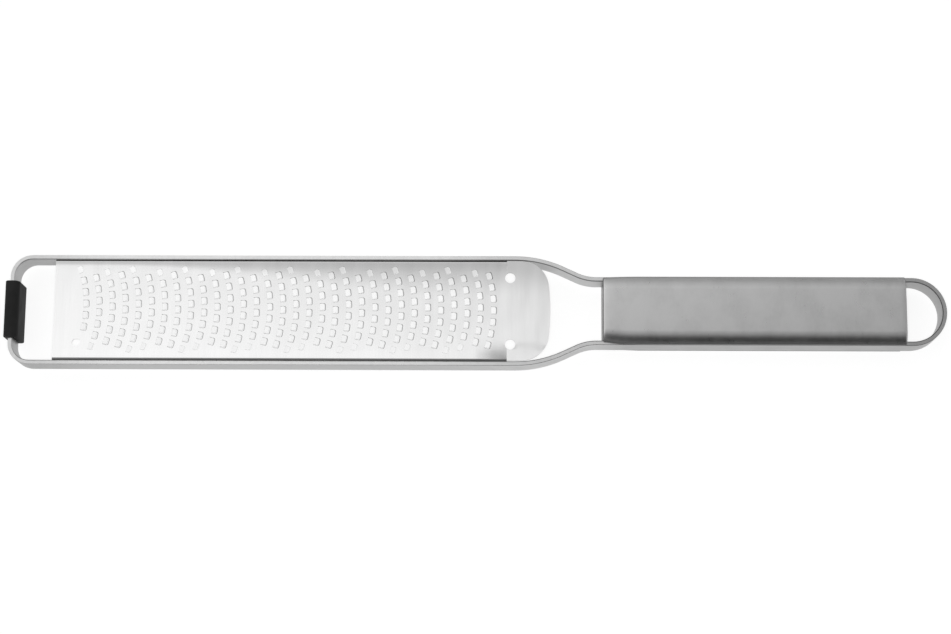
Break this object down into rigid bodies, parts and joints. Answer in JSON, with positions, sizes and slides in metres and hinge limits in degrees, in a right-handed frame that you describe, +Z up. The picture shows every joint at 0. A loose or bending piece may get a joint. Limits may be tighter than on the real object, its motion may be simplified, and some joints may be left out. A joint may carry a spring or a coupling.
{
  "type": "rasp zester",
  "caption": "Rasp zester with an etched steel blade in a bent strip frame, pressed steel handle shells, a rubber front foot and a hanging loop.",
  "frame": {"origin": "on the plane under the lower handle shell, below the middle of the whole tool's length and width", "axes": "+X along the tool from the front foot to the hanging loop, +Z up through the cutting face, +Y across the blade"},
  "size_m": [0.3254, 0.0384, 0.0166],
  "materials": {
    "frame_steel": "satin, drawn along the strip",
    "blade_steel": "bright, finely etched",
    "shell_steel": "satin, brushed",
    "foot_rubber": "matte"
  },
  "bodies": {
    "root": {"frame": "frame_steel", "blade": "blade_steel", "handle_upper_shell": "shell_steel", "handle_lower_shell": "shell_steel", "front_foot": "foot_rubber"}
  },
  "joints": []
}
